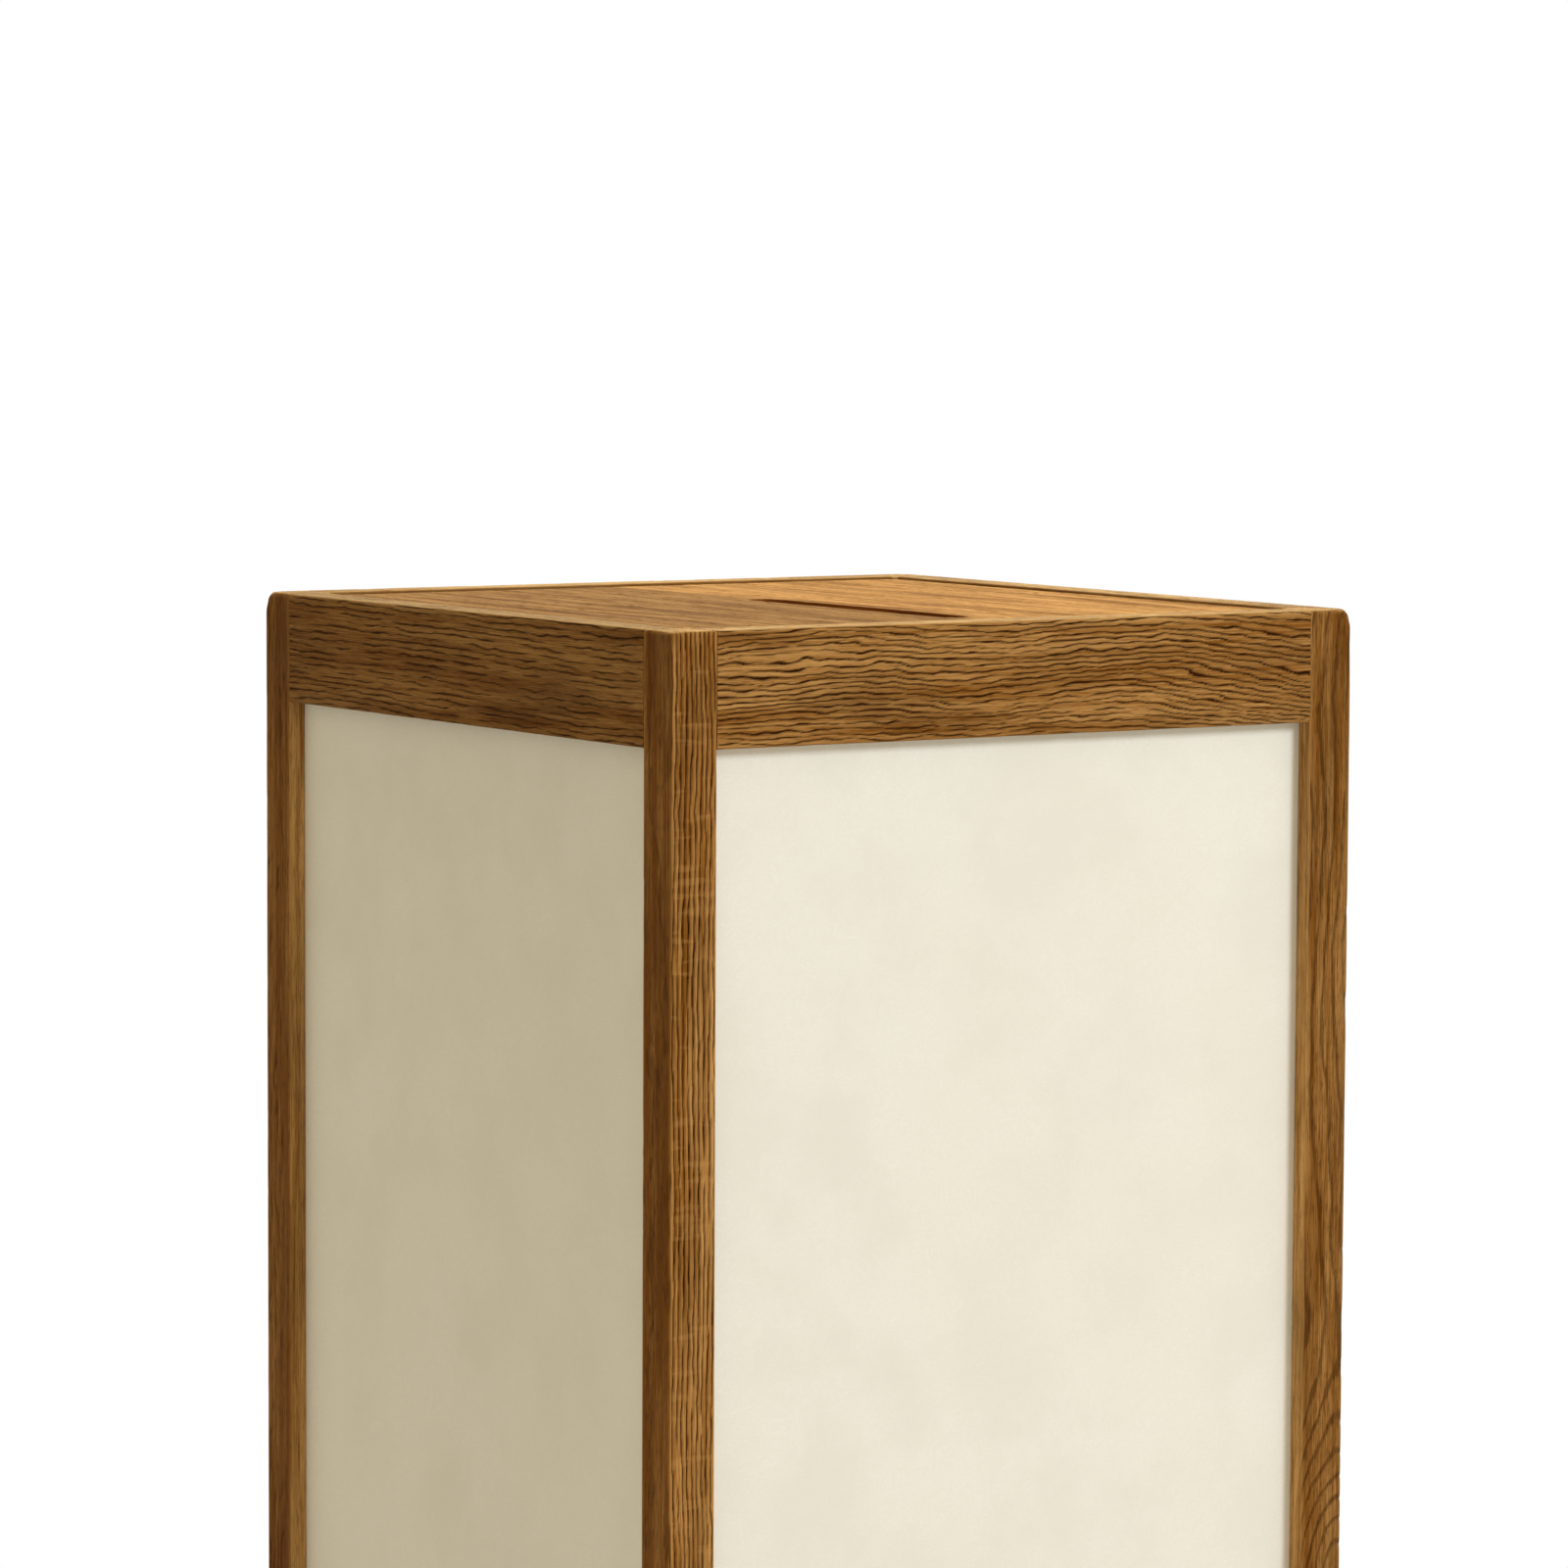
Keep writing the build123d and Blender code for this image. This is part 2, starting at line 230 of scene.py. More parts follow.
def brushed_oak(name, stain, gloss, streak=1.0, rays=0.0):
    """Wire-brushed oak: pale ridges, dark valleys, short pores and fine fibres along the grain.

    rays is how much the pale flecks show that lie across the grain of a quarter-sawn face.
    """
    finish = Finish(name)
    place = finish.timber_place()
    valley = finish.stored("valley")
    brushed = finish.stored("brushed")
    painted_light = finish.stored("painted_light")
    arris = finish.stored("arris")
    fibre = finish.grain(place, 0.050, 3.4, 3.0)
    streaks = finish.grain(place, 0.012, 0.42, 3.0, (7.0, 3.0, 1.0))
    bands = finish.grain(place, 0.007, 0.13, 2.0, (1.0, 6.0, 2.0))
    cloud = finish.grain(place, 0.011, 0.06, 2.0, (2.0, 9.0, 4.0))
    pores = finish.grain(place, 0.17, 2.4, 2.0, (5.0, 1.0, 8.0))
    pore = pores.step(0.56, 0.66) * (0.55 + 0.45 * (1 - brushed))
    flecks = finish.grain(place, 0.24, 0.045, 2.0, (8.0, 4.0, 6.0))
    ray = flecks.step(0.56, 0.70) * brushed ** 6 * rays
    dull = (1 - brushed) * (1 - painted_light)
    tone = 0.50 + (fibre - 0.5) * 2.3 + (streaks - 0.5) * 1.6 * streak - 0.45 * dull
    tone = tone + (bands - 0.5) * 1.3 * streak
    colour = finish.mix(tone.clamped(), stain.body, stain.ridge)
    # Tops and the posts' inner sides take the stain's first colour as painted light.
    colour = finish.mix((painted_light * (0.25 + tone * 0.75)).clamped(), colour, stain.painted_light)
    colour = finish.mix(cloud.step(0.42, 0.72) * 0.30, colour, stain.valley)
    colour = finish.mix(ray, colour, stain.ridge)
    colour = finish.mix(pore * 0.55, colour, stain.valley)
    # A painted highlight along the piece's edges.
    colour = finish.mix((arris * (1 - valley) * 0.35).clamped(), colour, stain.ridge)
    # The valleys' dark: partly stain, partly painted shade in the brushed grooves.
    colour = finish.mix((valley * 1.1 * (1 - ray)).clamped(), colour, stain.valley)
    shade = finish.stored("shade") * (1 - dull * 0.28)
    colour = finish.mix(1.0, colour, finish.grey(shade), "MULTIPLY")
    roughness = 0.56 + 0.20 * valley + 0.12 * (fibre - 0.5)
    height = (fibre * 0.5 + (1 - pore) * 0.5).clamped()
    normal = finish.bump(height, 0.22 * MM)
    return finish.surface(colour, roughness, normal, Specular_IOR_Level=gloss)


def sawn_oak(name, stain, gloss):
    """The same oak where it was cut: smooth, with fine lines, in joints, grooves and holes."""
    finish = Finish(name)
    place = finish.timber_place()
    fibre = finish.grain(place, 0.05, 2.4, 3.0)
    streaks = finish.grain(place, 0.015, 0.35)
    tone = (0.30 + (fibre - 0.5) * 0.9 + (streaks - 0.5) * 1.2).clamped()
    colour = finish.mix(tone, stain.body, stain.ridge)
    normal = finish.bump(fibre, 0.10 * MM)
    return finish.surface(colour, 0.58 + 0.12 * fibre, normal, Specular_IOR_Level=gloss)


def planed_wood():
    """Plain planed cedar of the inner parts: pale, with soft rings and the plane's faint waves."""
    finish = Finish("planed_cedar")
    place = finish.timber_place()
    fibre = finish.grain(place, 0.035, 2.0, 3.0)
    rings = finish.grain(place, 0.006, 0.40, 2.0, (3.0, 5.0, 2.0))
    waves = finish.grain(place, 0.28, 0.03, 1.0)
    tone = (rings.step(0.38, 0.62) * 0.6 + (fibre - 0.5) * 0.7 + 0.12).clamped()
    colour = finish.mix(tone, srgb(211, 180, 137), srgb(182, 142, 96))
    height = (fibre * 0.6 + waves * 0.4).clamped()
    return finish.surface(colour, 0.60 + 0.10 * fibre, finish.bump(height, 0.08 * MM))


def laminated_paper():
    """Cream washi in a clear laminate: faint clouds, and hair-thin fibres that barely show."""
    finish = Finish("laminated_washi")
    place = finish.place()
    cloud = finish.noise(place, 26.0, 4.0, 0.55)
    patch = finish.noise(place, 9.0, 2.0)
    shift = finish.node("TexNoise", None, {"Vector": place, "Scale": 40.0}).outputs["Color"]
    bent = finish.node("VectorMath", {"operation": "ADD"}, {0: place, 1: shift}).outputs[0]
    hair = finish.cells(finish.stretched(bent, (1.0, 1.0, 0.6)), 60.0)
    fibres = hair.step(0.42, 0.50)
    colour = finish.mix(cloud.step(0.38, 0.70), srgb(239, 234, 217), srgb(233, 228, 210))
    colour = finish.mix(patch.step(0.35, 0.75) * 0.5, colour, srgb(236, 229, 209))
    colour = finish.mix(fibres * 0.25, colour, srgb(228, 221, 200))
    pulp = finish.noise(place, 900.0, 3.0)
    return finish.surface(
        colour,
        0.62 + 0.08 * cloud,
        finish.bump((pulp * 0.6 + cloud * 0.4), 0.05 * MM, 0.5),
        Specular_IOR_Level=0.35,
    )


def felt():
    """Dark wool felt, flecked and soft."""
    finish = Finish("wool_felt")
    place = finish.place()
    wool = finish.noise(place, 1400.0, 4.0, 0.7)
    colour = finish.mix(wool.step(0.35, 0.65), srgb(64, 54, 44), srgb(104, 92, 78))
    return finish.surface(colour, 0.95, finish.bump(wool, 0.25 * MM, 1.0), Sheen_Weight=0.3)


def metal(name, colour, base_roughness, lathe_lines=0.0):
    """Plated metal with faint turning lines and small stains."""
    finish = Finish(name)
    place = finish.place()
    stain = finish.noise(place, 320.0, 3.0)
    lines = finish.noise(finish.stretched(place, (60.0, 60.0, 2600.0)), detail=2.0)
    shade = finish.mix(stain.step(0.35, 0.75) * 0.5, srgb(*colour), srgb(*[c * 0.82 for c in colour]))
    roughness = base_roughness + 0.16 * stain
    return finish.surface(shade, roughness, finish.bump(lines, 0.03 * MM, lathe_lines), Metallic=1.0)


def glaze(name, colour, base_roughness, coat=0.0):
    """Glazed porcelain or moulded plastic: even, with a faint orange peel and specks of dust."""
    finish = Finish(name)
    place = finish.place()
    peel = finish.noise(place, 260.0, 2.0)
    dust = finish.noise(place, 900.0, 3.0).step(0.62, 0.75)
    shade = finish.mix(dust * 0.18, srgb(*colour), srgb(*[c * 0.86 for c in colour]))
    roughness = base_roughness + 0.10 * dust
    return finish.surface(shade, roughness, finish.bump(peel, 0.04 * MM, 0.5), Coat_Weight=coat)


def opal_glass():
    """The opal tube of the bulb: white, with a fine frost."""
    finish = Finish("opal_diffuser")
    frost = finish.noise(finish.place(), 1200.0, 2.0)
    colour = finish.mix(frost.step(0.3, 0.7) * 0.4, srgb(242, 240, 234), srgb(234, 231, 223))
    return finish.surface(colour, 0.32 + 0.10 * frost, finish.bump(frost, 0.01 * MM, 0.4))


# --- Smooth noise for the shape of the grain ---
HASH_STEPS = np.array([374761393, 668265263, 2147483647], np.int64)
HASH_MIX = 1274126177
HASH_MASK = 0xFFFFFFFF
HASH_LOW = 0xFFFF
NOISE_GAIN = 1.7
TINY = 1e-9  # keeps a division by nothing away


def noise(points, seed=0):
    """Smooth noise from about -1 to 1 at points given in its own cells."""
    cell = np.floor(points).astype(np.int64)
    part = points - cell
    ease = part ** 3 * (part * (part * 6 - 15) + 10)
    total = np.zeros(len(points))
    for corner in np.ndindex(2, 2, 2):
        mixed = ((cell + corner) * HASH_STEPS).sum(axis=1) + seed * HASH_MIX & HASH_MASK
        mixed = (mixed ^ mixed >> 13) * HASH_MIX & HASH_MASK
        mixed = (mixed ^ mixed >> 16) & HASH_MASK
        turn = (mixed & HASH_LOW) / HASH_LOW * 2 * math.pi
        rise = (mixed >> 16 & HASH_LOW) / HASH_LOW * 2 - 1
        flat = np.sqrt(1 - rise ** 2)
        gradient = np.stack([flat * np.cos(turn), flat * np.sin(turn), rise], axis=1)
        weight = np.where(corner, ease, 1 - ease).prod(axis=1)
        total += weight * ((part - corner) * gradient).sum(axis=1)
    return total * NOISE_GAIN


def smooth(value, low, high):
    """Rises smoothly from 0 at low to 1 at high."""
    share = np.clip((value - low) / np.maximum(high - low, TINY), 0, 1)
    return share * share * (3 - 2 * share)


# --- Timber ---
X, Y, Z = range(3)

# The cells of the noise in the grain, in millimetres: their length along it and their width across.
DRIFT = (95, 26)
WAVER = (26, 9)
RIPPLE = (7.5, 3.2)
LENS = (14.0, 11.0)
PATCH = (55, 13)
LENSES_PER_RING = 0.9


@dataclass
class Timber:
    """How the grain lies in one piece of oak. Lengths are in millimetres.

    pitch is the width of a ring, and tilt the rings' slope through the piece, in degrees. depth is
    how deep the brush went, cover the share of the rings that it opened, and breaks how broken the
    valleys are. wave is how much the rings wander, and shade the piece's own tone. A knot is a
    place where the rings swirl: along, across, how long and how wide it is, and by how many rings.
    ripple is how much of the wander is short, and flat how much the brush opened a face that lies flat on the
    rings. inner is the tone of the sides that face the middle of the lamp, if it is another one: painted
    lighter for the light that falls there. close is the stretch along the grain whose shape needs close
    points.
    """

    seed: int
    pitch: float
    tilt: float
    depth: float
    cover: float
    breaks: float = 1.0
    wave: float = 1.0
    shade: float = 1.0
    knots: tuple = ()
    ripple: float = 0.36
    flat: float = 0.0
    inner: float = None
    close: tuple = ()

    def __post_init__(self):
        self.tilt = math.radians(self.tilt)
        self.inner = self.inner or self.shade

    def noise(self, place, cell, salt):
        """Noise with cells of the given length along the grain and width across it."""
        along, across = cell
        return noise(place / (along, across, across), self.seed + salt)

    def rings(self, place):
        """The number of rings up to each place, which grows by 1 from one ring to the next."""
        along, across, through = place.T
        count = (across * math.cos(self.tilt) + through * math.sin(self.tilt)) / self.pitch
        drift = self.noise(place, DRIFT, 0)
        waver = self.noise(place, WAVER, 1)
        ripple = self.noise(place, RIPPLE, 2)
        count = count + self.wave * (1.5 * drift + 0.60 * waver + self.ripple * ripple)
        for knot_along, knot_across, length, width, strength in self.knots:
            far = np.hypot((along - knot_along) / length, (across - knot_across) / width)
            count = count + strength * np.exp(-far ** 2)
        return count

    def brushed(self, outward):
        """How much the brush could open a face: most where the rings meet it squarely, little at an end."""
        across = outward[:, 1] * math.cos(self.tilt) + outward[:, 2] * math.sin(self.tilt)
        square = np.sqrt(np.clip(1 - across ** 2, 0, 1))
        return np.maximum(square, self.flat) * (1 - 0.75 * np.abs(outward[:, 0]))

    def relief(self, place, brushed):
        """The valleys, from 0 to 1 at the bottom, and the depth of the whole relief, in millimetres."""
        rings = self.rings(place)
        from_line = np.abs(np.sin(math.pi * rings))
        lens = noise(np.column_stack([place[:, :2] / LENS, rings * LENSES_PER_RING]), self.seed + 3)
        patch = self.noise(place, PATCH, 4)
        opened = np.clip(self.cover + self.breaks * (0.55 * lens + 0.20 * patch), 0, 1)
        width = 0.24 + 0.52 * opened
        valley = (1 - smooth(from_line, 0.30 * width, width)) * smooth(opened, 0.10, 0.45)
        crown = (1 - from_line) ** 1.5
        valley = valley * np.minimum(1, 0.10 + 0.90 * brushed)
        return valley, self.depth * (0.72 * valley + 0.28 * crown * brushed)


EDGE_ROWS = 3  # rows of points across a block's rounded edge
SPACING_SAMPLES = 6000  # places along an axis at which the distance of its points is worked out


def marks(low, high, step, edge, close=()):
    """Places along one axis of a block, closer together at its rounded edges and in each close zone.

    A zone is given as its start, its end and its step.
    """
    near = np.linspace(0, edge, EDGE_ROWS + 1)[:-1]
    run = np.linspace(low + edge, high - edge, SPACING_SAMPLES)
    density = np.full(len(run), 1 / step)
    for start, end, zone_step in close:
        density[(run > start) & (run < end)] = 1 / zone_step
    count = np.cumsum(density) * (run[1] - run[0])
    even = np.interp(np.linspace(count[0], count[-1], max(2, round(count[-1]) + 1)), count, run)
    return np.concatenate([low + near, even, high - near[::-1]])


def block_mesh(axes):
    """A closed box of quads with the given places along X, Y and Z."""
    grid = np.stack(np.meshgrid(*axes, indexing="ij"), axis=-1)
    sides = {
        (axis, end): tuple(end if axis == other else slice(None) for other in range(3))
        for axis, end in product(range(3), (0, -1))
    }
    on_skin = np.zeros(grid.shape[:3], bool)
    for side in sides.values():
        on_skin[side] = True
    number = np.full(grid.shape[:3], -1)
    number[on_skin] = np.arange(on_skin.sum())
    quads = []
    for (axis, end), side in sides.items():
        sheet = number[side]
        corners = [sheet[:-1, :-1], sheet[1:, :-1], sheet[1:, 1:], sheet[:-1, 1:]]
        if (end == 0) == (axis != 1):
            corners.reverse()
        quads.append(np.stack(corners, axis=-1).reshape(-1, 4))
    return grid[on_skin], np.concatenate(quads)


def rounded(points, low, high, radius):
    """The points of a block with its edges rounded, and the outward direction at each.

    radius is one for all the points, or one for each.
    """
    radius = np.reshape(radius, (-1, 1))
    inner = np.clip(points, low + radius, high - radius)
    away = points - inner
    reach = np.linalg.norm(away, axis=1, keepdims=True)
    away = away / np.maximum(reach, TINY)
    return inner + away * radius, away


# Metres within which two points are one, in a copy of a node's solid and in a turned piece.
SOLID_MERGE = 1e-6
TURNED_MERGE = 1e-7


def mesh_from(name, points, faces):
    """A mesh whose faces all have the same number of corners."""
    mesh = bpy.data.meshes.new(name)
    mesh.vertices.add(len(points))
    mesh.vertices.foreach_set("co", np.asarray(points, np.float32).ravel())
    width = faces.shape[1]
    mesh.loops.add(faces.size)
    mesh.loops.foreach_set("vertex_index", faces.astype(np.int32).ravel())
    mesh.polygons.add(len(faces))
    mesh.polygons.foreach_set("loop_start", np.arange(0, faces.size, width, dtype=np.int32))
    mesh.update(calc_edges=True)
    mesh.validate()
    return mesh


def mesh_of(worked, name):
    """The mesh that a bmesh holds. The bmesh is freed."""
    mesh = bpy.data.meshes.new(name)
    worked.to_mesh(mesh)
    worked.free()
    return mesh


def read(items, field, width=1, kind=np.float32):
    """What a field holds for each item of a mesh: one value, or a row of width values."""
    found = np.empty(len(items) * width, kind)
    items.foreach_get(field, found)
    return found.reshape(-1, width) if width > 1 else found


def points_of(mesh):
    return read(mesh.vertices, "co", 3).astype(float)


def shown(name, data):
    made = bpy.data.objects.new(name, data)
    bpy.context.scene.collection.objects.link(made)
    return made


def levels(node):
    """A node's middle, lowest and highest point, in millimetres."""
    low, high = (np.array(corner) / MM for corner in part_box(node))
    return (low + high) / 2, low, high


def solid_of(node):
    """A closed copy of a node's mesh, to cut a worked block with."""
    worked = bmesh.new()
    worked.from_mesh(NODES[node].data)
    bmesh.ops.remove_doubles(worked, verts=worked.verts, dist=SOLID_MERGE)
    return mesh_of(worked, node + "_cut")


def cut(block, cutter, **settings):
    """Cuts a block with a cutter, which is used up."""
    boolean = block.modifiers.new("cut", "BOOLEAN")
    for name, value in settings.items():
        setattr(boolean, name, value)
    boolean.object = cutter
    view = bpy.context.evaluated_depsgraph_get()
    mesh = bpy.data.meshes.new_from_object(block.evaluated_get(view))
    block.modifiers.clear()
    block.data = mesh
    bpy.data.objects.remove(cutter)
    return mesh


def cut_to(node, block, surface, cut_surface):
    """What of the block lies in the node's solid: its joints, grooves and holes are the solid's."""
    cutter = shown(node + "_cutter", solid_of(node))
    cutter.data.materials.clear()
    cutter.data.materials.append(cut_surface)
    block.data.materials.append(surface)
    mesh = cut(block, cutter, operation="INTERSECT", solver="MANIFOLD", material_mode="TRANSFER")
    mesh.name = node + "_worked"
    return mesh


def smooth_faces(mesh, sharpest):
    """Smooth shading, broken at edges that turn by more than sharpest degrees."""
    mesh.polygons.foreach_set("use_smooth", np.ones(len(mesh.polygons), bool))
    mesh.set_sharp_from_angle(angle=math.radians(sharpest))


def store(mesh, name, values):
    """Keeps a number or a vector for each point of a mesh."""
    kind, field = ("FLOAT_VECTOR", "vector") if values.ndim == 2 else ("FLOAT", "value")
    held = mesh.attributes.new(name, kind, "POINT")
    held.data.foreach_set(field, values.astype(np.float32).ravel())


INNER_DEPTH = 1.5  # mm under a timber's sides, from where a face is an inner one
INNER_SHARE = 0.35  # of the room that an outer face gets in the bake's map
SEAM = 0.006  # the gap between two strips of the map, as a share of its width


def lay_out(mesh, along):
    """The bake's map: the faces of each side as a strip along the grain, inner faces apart."""
    points = points_of(mesh)
    low, high = points.min(axis=0), points.max(axis=0)
    size = high - low
    row = np.arange(len(mesh.polygons))
    normal = read(mesh.polygons, "normal", 3)
    centre = read(mesh.polygons, "center", 3)
    side = np.abs(normal).argmax(axis=1)
    positive = normal[row, side] > 0
    depth = np.where(positive, high[side] - centre[row, side], centre[row, side] - low[side])
    inner = depth > INNER_DEPTH * MM
    owner = np.repeat(row, read(mesh.polygons, "loop_total", kind=np.int32))
    corner = points[read(mesh.loops, "vertex_index", kind=np.int32)]
    first, second = (axis for axis in range(3) if axis != along)
    # The axis that each pair of sides faces, then the strip's own long and short axes.
    lies = ((first, along, second), (second, along, first), (along, second, first))
    strips = list(product(lies, (False, True), (False, True)))
    heights = [size[rise] * (INNER_SHARE if is_inner else 1) for (_, _, rise), _, is_inner in strips]
    unit = (1 - SEAM * (len(strips) + 1)) / sum(heights)
    uv = np.zeros((len(corner), 2))
    base = SEAM
    for ((axis, run, rise), is_positive, is_inner), height in zip(strips, heights):
        chosen = ((side == axis) & (positive == is_positive) & (inner == is_inner))[owner]
        share = (corner[chosen] - low) / size
        uv[chosen, 0] = SEAM + share[:, run] * (1 - 2 * SEAM)
        uv[chosen, 1] = base + share[:, rise] * height * unit
        base += height * unit + SEAM
    layer = mesh.uv_layers.new(name="OFBake")
    layer.uv.foreach_set("vector", uv.astype(np.float32).ravel())


def shade_by_material(mesh):
    """Worked faces are smooth and cut faces flat, so that their meeting edge stays crisp."""
    slot = read(mesh.polygons, "material_index", kind=np.int32)
    mesh.polygons.foreach_set("use_smooth", slot == 0)
    mesh.update()


def dress(piece, *nodes):
    """Puts a finished piece in the place of its nodes, on their body."""
    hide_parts(*nodes)
    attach(piece, BODY_OF[nodes[0]])


@dataclass
class Work:
    """How a kind of timber is worked: step along and across, the round of its edges, its finishes.

    inner is 1 where the sides that face the middle of the lamp are painted paler, as painted light, and -1
    where they are painted darker, as painted shade.
    """

    step: tuple
    edge: float
    surface: bpy.types.Material
    cut_surface: bpy.types.Material
    inner: int = 0


SKIN_GAP = 0.03  # mm that a worked face stays inside the solid's face
FLUSH = (0, 0, 0)
PAST_END = 2.0  # mm that a block runs over its solid, so that the solid cuts its end square
FINE_STEP = 0.5  # mm between the points where a block is finely shaped
INNER_PLANED = 0.95  # how much of the brush's work is missing on the sides that face the lamp's middle
INNER_PAINTED_LIGHT = 0.4  # how much more painted light these sides take on the posts, and how much less on the rails
INNER_DARKER = 0.38  # how much darker these sides are painted where the work gives them painted shade
MIDDLE_ZONE = 50  # mm along X or Y: a piece that lies nearer to the middle has no side that faces it there
ARRIS = (0.5, 2.0)  # mm from an edge to where it counts in full, and to where it ends


def worked_timber(node, timber, work, along, across, past=(FLUSH, FLUSH), wear=None, fine=0.0):
    """A brushed block round a node, cut to the node's solid.

    along and across are the axes of the grain and of the wide face. past is how far the block runs
    over the solid's low and high ends. wear gives how much rounder the edges are at each point, and
    fine is the height at the block's top that is finely shaped for it.
    """
    middle, box_low, box_high = levels(node)
    low, high = box_low - past[0], box_high + past[1]
    steps = [work.step[0] if axis == along else work.step[1] for axis in range(3)]
    close = [timber.close if axis == along else () for axis in range(3)]
    if fine:
        close[Z] += ((high[Z] - fine, high[Z], FINE_STEP),)
    order = [along, across, 3 - along - across]

    def shaped(points):
        """The points with the block's edges rounded, and the outward direction at each."""
        return rounded(points, low, high, work.edge + (wear(points, low, high) if wear else 0))

    points, quads = block_mesh([marks(low[a], high[a], steps[a], work.edge, close[a]) for a in range(3)])
    points, outward = shaped(points)
    reached = 1 - INNER_PLANED * inward_of(outward, middle)
    depth = timber.relief(points[:, order], timber.brushed(outward[:, order]) * reached)[1]
    points = points - outward * (SKIN_GAP + depth)[:, None]
    block = shown(node + "_wood", mesh_from(node + "_block", points * MM, quads))
    mesh = cut_to(node, block, work.surface, work.cut_surface)

    final = points_of(mesh) / MM
    before, outward = shaped(final)
    brushed = timber.brushed(outward[:, order])
    inward = inward_of(outward, middle)
    # Painted light on the tops. On the sides that face the lamp's middle: painted light on the posts, painted
    # shade on the rails.
    painted_light = smooth(outward[:, Z], 0.5, 0.95) + INNER_PAINTED_LIGHT * work.inner * inward
    inner_tone = timber.inner * (1 - INNER_DARKER * max(0, -work.inner))
    store(mesh, "timber", final[:, order])
    store(mesh, "valley", timber.relief(before[:, order], brushed * (1 - INNER_PLANED * inward))[0])
    store(mesh, "brushed", brushed)
    store(mesh, "painted_light", np.clip(painted_light, 0, 1))
    store(mesh, "arris", arris_of(final, box_low, box_high))
    store(mesh, "shade", timber.shade + (inner_tone - timber.shade) * inward)
    shade_by_material(mesh)
    lay_out(mesh, along)
    dress(block, node)


def inward_of(outward, middle):
    """1 on a piece's sides that face the middle of the lamp."""
    off_middle = np.sign(middle[:2]) * (np.abs(middle[:2]) > MIDDLE_ZONE)
    return smooth((-outward[:, :2] * off_middle).max(axis=1), 0.25, 0.8)


def arris_of(points, low, high):
    """1 on the edges of a piece, and 0 away from them: where the painted highlight goes."""
    gap = np.sort(np.minimum(points - low, high - points), axis=1)
    return 1 - smooth(gap[:, 1], *ARRIS)


# In the brushed oak, a stain's first colour is painted light, and its last gives the valleys a dark that is
# partly stain and partly painted shade.
FRAME_STAIN = Stain((240, 197, 130), (195, 144, 80), (133, 80, 19), (50, 20, 0))
LID_STAIN = Stain((213, 160, 92), (183, 132, 70), (134, 86, 34), (74, 36, 10))
OAK_GLOSS = 0.025
LID_GLOSS = 0.012
FRAME_OAK = brushed_oak("brushed_oak", FRAME_STAIN, OAK_GLOSS)
QUARTERED_OAK = brushed_oak("quartered_oak", FRAME_STAIN, OAK_GLOSS, rays=0.30)
FRAME_SAWN = sawn_oak("sawn_oak", FRAME_STAIN, OAK_GLOSS)
LID_OAK = brushed_oak("brushed_lid_oak", LID_STAIN, LID_GLOSS, streak=1.7)
SLOT_STAIN = Stain((190, 120, 56), (176, 106, 46), (126, 68, 24), (60, 28, 8))
LID_SAWN = sawn_oak("sawn_lid_oak", SLOT_STAIN, LID_GLOSS)
CEDAR = planed_wood()

FRAME_EDGE = 0.85  # mm, the round of the frame's edges
RAIL_WORK = Work((1.8, 0.40), FRAME_EDGE, FRAME_OAK, FRAME_SAWN, inner=-1)
POST_WORK = Work((2.0, 0.40), FRAME_EDGE, FRAME_OAK, FRAME_SAWN, inner=1)
QUARTERED_WORK = Work((2.0, 0.40), FRAME_EDGE, QUARTERED_OAK, FRAME_SAWN, inner=1)
LID_WORK = Work((2.0, 0.6), 0.55, LID_OAK, LID_SAWN)
CEDAR_WORK = Work((7.0, 1.2), 0.5, CEDAR, CEDAR)

RAILS = {
    "top_rail_front": Timber(
        11, 1.95, 14, 0.74, 0.60, shade=0.92, knots=((152, 572, 60, 27, 6.0), (-20, 570, 30, 14, 0.9))
    ),
    "top_rail_left": Timber(23, 2.0, 34, 0.42, 0.42, wave=0.6, shade=0.67, knots=((-90, 576, 60, 27, 1.2),)),
    "top_rail_back": Timber(37, 2.1, 28, 0.52, 0.48, shade=0.95, knots=((-40, 566, 40, 18, 2.0),)),
    "top_rail_right": Timber(41, 2.1, 18, 0.50, 0.46, wave=1.1, shade=0.90, knots=((60, 585, 30, 14, -1.8),)),
    "bottom_rail_front": Timber(53, 2.1, 20, 0.60, 0.52, shade=0.97, knots=((-70, 60, 40, 18, 2.0),)),
    "bottom_rail_left": Timber(
        59, 2.0, 30, 0.42, 0.42, wave=0.9, shade=0.84, knots=((50, 74, 50, 22, -1.6),)
    ),
    "bottom_rail_back": Timber(61, 2.2, 22, 0.52, 0.48, shade=0.92, knots=((90, 66, 30, 14, 1.8),)),
    "bottom_rail_right": Timber(67, 2.0, 26, 0.50, 0.46, shade=0.96, knots=((-30, 70, 40, 18, -2.0),)),
}
FIGURED_KNOTS = (
    (213, 149, 76, 31, -10.0),
    (372, 172, 60, 34, -5.0),
    (455, 166, 60, 30, -5.0),
    (565, 176, 80, 36, -7.0),
)
POSTS = {
    "post_front_left": Timber(71, 2.0, 9, 0.70, 0.60, breaks=0.85, wave=0.50, shade=1.03),
    "post_front_right": Timber(
        73, 2.1, 95, 0.56, 0.60, breaks=0.75, wave=0.5, shade=0.93, knots=FIGURED_KNOTS,
        ripple=0.18, flat=0.40, inner=1.05, close=((150, 340, 0.8),),
    ),
    "post_back_left": Timber(
        79, 1.9, 24, 0.34, 0.26, wave=0.8, shade=0.89,
        knots=((330, -140, 70, 31, 3.0), (500, -139, 16, 9, 1.8)), inner=0.89,
    ),
    "post_back_right": Timber(83, 2.0, 30, 0.50, 0.46, wave=0.9, shade=0.92),
}
